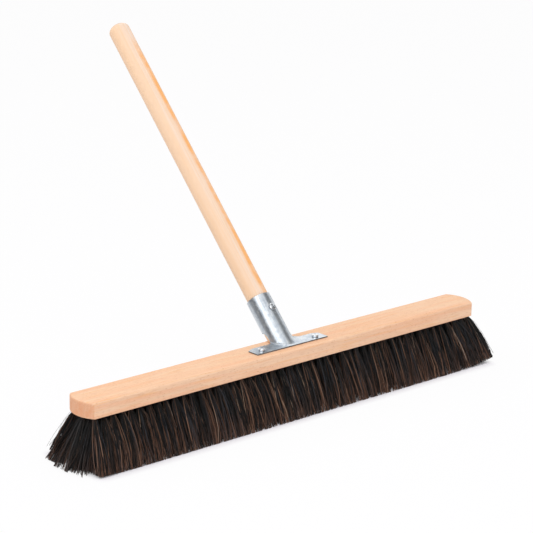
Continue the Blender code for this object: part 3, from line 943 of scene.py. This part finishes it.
at = add(tree, SPLIT, {0: grain}).outputs
wander = add(tree, NOISE, {"Vector": grain, "Scale": WANDERS_PER_METRE, "Detail": 1})
wander = add(
    tree, MATH, {0: wander, 1: 2 * GROWTH_LINE_WANDER, 2: -GROWTH_LINE_WANDER},
    operation="MULTIPLY_ADD",
)
middle = add(
    tree, MATH, {0: at["Z"], 1: GROWTH_LINE_DRIFT, 2: GROWTH_LINE_SIDE}, operation="MULTIPLY_ADD"
)
middle = add(tree, MATH, {0: middle, 1: wander}, operation="ADD")
from_line = add(tree, MATH, {0: at["X"], 1: middle}, operation="SUBTRACT")
from_line = add(tree, MATH, {0: from_line}, operation="ABSOLUTE")
broken = add(tree, NOISE, {"Vector": grain, "Scale": BREAKS_PER_METRE, "Detail": 2})
line = 1.0
for level, nothing, whole, least, ramp in (
    (from_line, GROWTH_LINE_HALF_WIDTH, GROWTH_LINE_HALF_WIDTH / 4, 0.0, "SMOOTHSTEP"),
    (broken, *BREAKS, "LINEAR"),
    (at["Y"], *FRONT_HALF, 0.0, "LINEAR"),
    (at["Z"], GROWTH_LINE_START, GROWTH_LINE_START - GROWTH_LINE_FADE, 0.0, "LINEAR"),
):
    share = add(
        tree, LEVELS, {"Value": level, "From Min": nothing, "From Max": whole, "To Min": least},
        interpolation_type=ramp,
    )
    line = add(tree, MATH, {0: line, 1: share}, operation="MULTIPLY")
# Painted shade: the left side is painted more golden and the right side pinker, for the shade on
# the sides that turn from the light.
left, right = (
    add(tree, LEVELS, {"Value": at["X"], "From Min": start, "From Max": full, "To Max": SIDE_SHADE_SHARE})
    for start, full in (LEFT_SIDE_SHADE, RIGHT_SIDE_SHADE)
)
for share, shade in ((left, "#F6D1AC"), (right, "#F2C5A0"), (line, "#F7B470")):
    colour = add(tree, MIX, {"Factor": share, "A": colour, "B": linear(shade)}, data_type="RGBA")
finish_beech(tree, colour, pores, end_axis=tuple(AXIS), end_shade="#F2DECF")
handle = add_piece("beech_handle", shape, material)
drill_through(handle, PILOT_RADIUS, screw_seat, screw_seat - FRONT * HANDLE_PILOT_DEPTH)
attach(handle, "root")
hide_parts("handle")


# Screws: zinc-plated pan-head wood screws with a cross recess. Two go through the wings into
# the block, and one through the front of the tube into the handle.

SCREW_SIZES = {
    "Head radius": 0.0042,
    "Head edge": 0.0016,
    "Head dome": 0.0012,
    "Core radius": 0.0015,
    "Thread depth": 0.0005,
    "Thread pitch": 0.0018,
    "Length": 0.014,
    "Point length": 0.004,
    "Recess span": 0.0042,
    "Recess slot": 0.0008,
    "Recess depth": 0.0010,
    "Recess turn": 0.0,
    "Place": (0.0, 0.0, 0.0),
    "Turn": (0.0, 0.0, 0.0),
}
RECESS_FLOOR_SHARE = 0.5
THREAD_SHARE = 0.86
THREAD_FOOT_SHARE = 0.97
THREAD_FOOT_RADIUS = 0.0008


def screw_tree(material):
    """A pan-head screw that points down Z, with the underside of its head at the origin."""
    tree, size = new_tree("pan_head_screw", SCREW_SIZES)
    place = add(tree, "GeometryNodeInputPosition")

    # The head is a sphere, flattened from below and raised on a short straight edge.
    ball = add(tree, "GeometryNodeMeshUVSphere", {"Segments": 40, "Rings": 20})
    upper = add(tree, VECTORS, {0: place, 1: (-1, -1, 0)}, operation="MAXIMUM")
    above = add(tree, SPLIT, {0: place}).outputs["Z"]
    just_above = 0.01
    above = add(tree, MATH, {0: above, 1: just_above}, operation="GREATER_THAN")
    radii = add(
        tree, JOIN, {"X": size["Head radius"], "Y": size["Head radius"], "Z": size["Head dome"]}
    )
    edge = add(tree, MATH, {0: above, 1: size["Head edge"]}, operation="MULTIPLY")
    edge = add(tree, JOIN, {"Z": edge})
    domed = add(tree, VECTORS, {0: upper, 1: radii, 2: edge}, operation="MULTIPLY_ADD")
    head = add(tree, "GeometryNodeSetPosition", {"Geometry": ball, "Position": domed})
    head_height = add(tree, MATH, {0: size["Head edge"], 1: size["Head dome"]}, operation="ADD")

    # The recess is two crossed bars that narrow towards its floor, sunk in from the dome's top.
    carved = add(
        tree, "GeometryNodeMeshBoolean", {"Mesh 1": head}, operation="DIFFERENCE", solver="EXACT"
    )
    bar_size = add(
        tree, JOIN, {"X": size["Recess span"], "Y": size["Recess slot"], "Z": size["Recess depth"]}
    )
    bar_z = add(tree, JOIN, {"Z": head_height})
    square_side = math.sqrt(2)
    bar = add(
        tree, "GeometryNodeMeshCone", {
            "Vertices": 4, "Radius Top": (2 - RECESS_FLOOR_SHARE) / square_side,
            "Radius Bottom": RECESS_FLOOR_SHARE / square_side, "Depth": 2.0,
        },
    )
    bar = add(
        tree, TRANSFORM,
        {"Geometry": bar, "Translation": (0, 0, -1), "Rotation": (0, 0, math.pi / 4)},
    )
    bar = add(tree, TRANSFORM, {"Geometry": bar, "Scale": bar_size})
    for turned in (0.0, math.pi / 2):
        turn = add(tree, MATH, {0: size["Recess turn"], 1: turned}, operation="ADD")
        turn = add(tree, JOIN, {"Z": turn})
        placed = add(tree, TRANSFORM, {"Geometry": bar, "Translation": bar_z, "Rotation": turn})
        tree.links.new(placed.outputs["Geometry"], carved.inputs["Mesh 2"])

    # The shank is a core, a point and a thread wound round them.
    straight = add(tree, MATH, {0: size["Length"], 1: size["Point length"]}, operation="SUBTRACT")
    core = add(
        tree, "GeometryNodeMeshCylinder",
        {"Vertices": 20, "Radius": size["Core radius"], "Depth": straight},
    )
    half_down = add(tree, MATH, {0: straight, 1: -0.5}, operation="MULTIPLY")
    half_down = add(tree, JOIN, {"Z": half_down})
    core = add(tree, TRANSFORM, {"Geometry": core, "Translation": half_down})
    point = add(
        tree, "GeometryNodeMeshCone", {
            "Vertices": 20, "Radius Bottom": size["Core radius"], "Radius Top": 0.0,
            "Depth": size["Point length"],
        },
    )
    down = add(tree, VECTORS, {0: half_down, "Scale": 2.0}, operation="SCALE")
    point = add(
        tree, TRANSFORM, {"Geometry": point, "Translation": down, "Rotation": (math.pi, 0, 0)}
    )
    threaded = add(tree, MATH, {0: size["Length"], 1: THREAD_SHARE}, operation="MULTIPLY")
    turns = add(tree, MATH, {0: threaded, 1: size["Thread pitch"]}, operation="DIVIDE")
    winding = add(
        tree, "GeometryNodeCurveSpiral", {
            "Resolution": 24, "Rotations": turns, "Start Radius": THREAD_FOOT_RADIUS,
            "End Radius": size["Core radius"], "Height": threaded,
        },
    )
    rib = add(
        tree, "GeometryNodeCurvePrimitiveCircle", {"Resolution": 4, "Radius": size["Thread depth"]}
    )
    thread = add(
        tree, "GeometryNodeCurveToMesh",
        {"Curve": winding, "Profile Curve": rib.outputs["Curve"], "Fill Caps": True},
    )
    foot = add(tree, MATH, {0: size["Length"], 1: -THREAD_FOOT_SHARE}, operation="MULTIPLY")
    foot = add(tree, JOIN, {"Z": foot})
    thread = add(tree, TRANSFORM, {"Geometry": thread, "Translation": foot})

    whole = add(tree, "GeometryNodeJoinGeometry")
    for part in (thread, point, core, carved):
        tree.links.new(part.outputs[0], whole.inputs["Geometry"])
    seated = add(
        tree, TRANSFORM, {"Geometry": whole, "Translation": size["Place"], "Rotation": size["Turn"]}
    )
    seated = add(tree, REALIZE, {"Geometry": seated})
    seated = add(tree, "GeometryNodeSetMaterial", {"Geometry": seated, "Material": material})
    add(tree, "NodeGroupOutput", {"Geometry": seated})
    return tree


# Zinc plating on a cold-headed screw is bright and slightly blue, and shows small sharp
# highlights round the head with a dark recess.
TUMBLE_MARK = 0.0006
material, tree = new_material("zinc_plated_screw_steel")
place = add(tree, COORDS).outputs["Object"]
tumbled = add(tree, NOISE, {"Vector": place, "Scale": 1 / TUMBLE_MARK, "Detail": 2})
gloss = add(tree, LEVELS, {"Value": tumbled, "To Min": 0.12, "To Max": 0.26})
dents = {"Strength": 0.3, "Distance": 0.00005, "Height": tumbled}
finish_metal(tree, ("#DDE3EB", "#FBFCFD"), tumbled, gloss, dents)

screws = screw_tree(material)
head_seat = PLATE_TOP + SEAT_GAP
SCREW_PLACES = {
    # The seat of the head, its lean, the turn of its cross in degrees, and the length.
    "plate_screw_left": ((-PLATE_SCREW_OUT, -PLATE_SCREW_FRONT, head_seat), 0.0, 20, 0.014),
    "plate_screw_right": ((PLATE_SCREW_OUT, -PLATE_SCREW_FRONT, head_seat), 0.0, 65, 0.014),
    "socket_screw": (screw_seat, math.pi / 2 - HANDLE_LEAN, 35, 0.016),
}
for node, (seat, lean, cross_turn, length) in SCREW_PLACES.items():
    screw = add_piece(f"zinc_{node}", bmesh.new())
    run_tree(
        screw, screws, {
            "Length": length, "Recess turn": math.radians(cross_turn), "Place": tuple(seat),
            "Turn": (lean, 0.0, 0.0),
        },
    )
    screw.data.shade_smooth()
    screw.data.set_sharp_from_angle(angle=SHARP_FROM)
    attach(screw, "root")
    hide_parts(node)


# Floor and light: a wide white studio floor under three softboxes. The camera sees the floor
# almost white, but it keeps the broom's own soft shadow, which is darkest close to the tips. The
# metal sees it bright near the broom and dim further out.

FLOOR_HALF = 7.0
FLOOR_GLOW_SHARE = 0.92
TIPS_HALF = (0.298, 0.046, 0.0)
CONTACT_SHADOW = 0.013
CONTACT_GLOW_SHARE = 0.05
MIRRORED_NEAR, NEAR_STRENGTH = 0.25, 0.85
MIRRORED_FAR, FAR_STRENGTH = 0.55, 0.20
shape = bmesh.new()
corners = ((-1, -1), (1, -1), (1, 1), (-1, 1))
floor_corners = [(FLOOR_HALF * x, FLOOR_HALF * y) for x, y in corners]
shape.faces.new(ring_of(shape, floor_corners, 0.0))
material, tree = new_material("white_studio_floor")
ray = add(tree, "ShaderNodeLightPath").outputs
seen = add(tree, MATH, {0: ray["Is Camera Ray"], 1: ray["Is Glossy Ray"]}, operation="MAXIMUM")
seen = add(tree, MATH, {0: seen, 1: ray["Is Transmission Ray"]}, operation="MAXIMUM")
place = add(tree, COORDS).outputs["Object"]
beside = add(tree, VECTORS, {0: place}, operation="ABSOLUTE")
beside = add(tree, VECTORS, {0: beside, 1: TIPS_HALF}, operation="SUBTRACT")
beside = add(tree, VECTORS, {0: beside, 1: (0, 0, 0)}, operation="MAXIMUM")
beside = add(tree, VECTORS, {0: beside}, operation="LENGTH").outputs["Value"]
share = add(
    tree, LEVELS, {
        "Value": beside, "From Max": CONTACT_SHADOW, "To Min": CONTACT_GLOW_SHARE,
        "To Max": FLOOR_GLOW_SHARE,
    },
)
share = add(tree, MATH, {0: seen, 1: share}, operation="MULTIPLY")
distance = add(tree, VECTORS, {0: place}, operation="LENGTH").outputs["Value"]
mirrored = add(
    tree, LEVELS, {
        "Value": distance, "From Min": MIRRORED_NEAR, "From Max": MIRRORED_FAR,
        "To Min": NEAR_STRENGTH, "To Max": FAR_STRENGTH,
    },
)
strength = add(
    tree, MIX, {"Factor": ray["Is Glossy Ray"], "A": 1.0, "B": mirrored}, data_type="FLOAT"
)
paint = add(tree, "ShaderNodeBsdfDiffuse", {"Color": linear("#F5F2F8")})
glow = add(tree, "ShaderNodeEmission", {"Color": (1, 1, 1, 1), "Strength": strength})
mixed = add(tree, "ShaderNodeMixShader", {0: share, 1: paint, 2: glow})
add(tree, OUTPUT, {"Surface": mixed})
floor = add_piece("studio_floor", shape, material)

# The walls light the broom evenly, and the camera sees them white. The metal mirrors a darker
# room with five bright cards: the backdrop behind the broom, a strip on its left, one overhead,
# a small one high at the back and one by the camera.
WALL_LIGHT = 0.74
ROOM_IN_METAL = 0.19
CARDS_IN_METAL = (
    # The way to the card, the degrees where it is still whole and then gone, its brightness.
    ((0.45, 0.88, 0.10), 46, 74, 0.90),
    ((-0.77, -0.20, 0.60), 15, 24, 1.40),
    ((-0.05, -0.47, 0.88), 17, 34, 0.80),
    ((0.25, 0.30, 0.92), 12, 20, 0.90),
    ((-0.60, -0.74, 0.30), 20, 36, 1.30),
)
world = bpy.data.worlds.new("studio_walls")
bpy.context.scene.world = world
world.use_nodes = True
tree = world.node_tree
tree.nodes.clear()
way = add(tree, COORDS).outputs["Generated"]
mirrored = ROOM_IN_METAL
for card, whole, nothing, brightness in CARDS_IN_METAL:
    facing = add(
        tree, VECTORS, {0: way, 1: tuple(Vector(card).normalized())}, operation="DOT_PRODUCT"
    )
    lit = add(
        tree, LEVELS, {
            "Value": facing.outputs["Value"], "From Min": math.cos(math.radians(nothing)),
            "From Max": math.cos(math.radians(whole)), "To Max": brightness,
        },
        interpolation_type="SMOOTHSTEP",
    )
    mirrored = add(tree, MATH, {0: mirrored, 1: lit}, operation="ADD")
ray = add(tree, "ShaderNodeLightPath").outputs
light = add(
    tree, MIX, {"Factor": ray["Is Glossy Ray"], "A": WALL_LIGHT, "B": mirrored}, data_type="FLOAT"
)
seen = add(
    tree, MATH, {0: ray["Is Camera Ray"], 1: ray["Is Transmission Ray"]}, operation="MAXIMUM"
)
light = add(tree, MIX, {"Factor": seen, "A": light, "B": 1.0}, data_type="FLOAT")
walls = add(tree, "ShaderNodeBackground", {"Color": (1, 1, 1, 1), "Strength": light})
add(tree, "ShaderNodeOutputWorld", {"Surface": walls})

LAMP_AIM = Vector((0, 0, 0.1))
for name, place, size, power in (
    ("overhead_softbox", (-0.3, -0.5, 2.6), (2.2, 1.4), 22),
    ("front_softbox", (-1.2, -2.6, 1.6), (1.6, 1.2), 9),
    ("left_softbox", (-2.2, 1.4, 1.0), (1.4, 1.2), 8),
):
    lamp = bpy.data.lights.new(name, "AREA")
    lamp.shape = "RECTANGLE"
    lamp.size, lamp.size_y = size
    lamp.energy = power
    softbox = bpy.data.objects.new(name, lamp)
    bpy.context.collection.objects.link(softbox)
    softbox.location = place
    softbox.rotation_euler = (LAMP_AIM - Vector(place)).to_track_quat("-Z", "Y").to_euler()
    softbox.visible_camera = False
    softbox.visible_glossy = False

scene = bpy.context.scene
scene.view_settings.view_transform = "Standard"


# Camera: at the photo's place, solved from the edges of the block, the tube and the handle.

CAMERA_PLACE = Vector((-1.49307, -1.62294, 0.80555))
CAMERA_LOOK = Vector((0.642773, 0.713985, -0.277611))
CAMERA_UP = Vector((0.172084, 0.218554, 0.960532))
FOCAL_PIXELS = 2007.18
IMAGE_PIXELS = 533
camera_data = bpy.data.cameras.new("photo_camera")
camera_data.sensor_width = 36
camera_data.lens = FOCAL_PIXELS / IMAGE_PIXELS * camera_data.sensor_width
camera = bpy.data.objects.new("photo_camera", camera_data)
bpy.context.collection.objects.link(camera)
camera_right = CAMERA_LOOK.cross(CAMERA_UP).normalized()
turned = Matrix((camera_right, camera_right.cross(CAMERA_LOOK), -CAMERA_LOOK)).transposed()
camera.matrix_world = Matrix.Translation(CAMERA_PLACE) @ turned.to_4x4()
scene.camera = camera
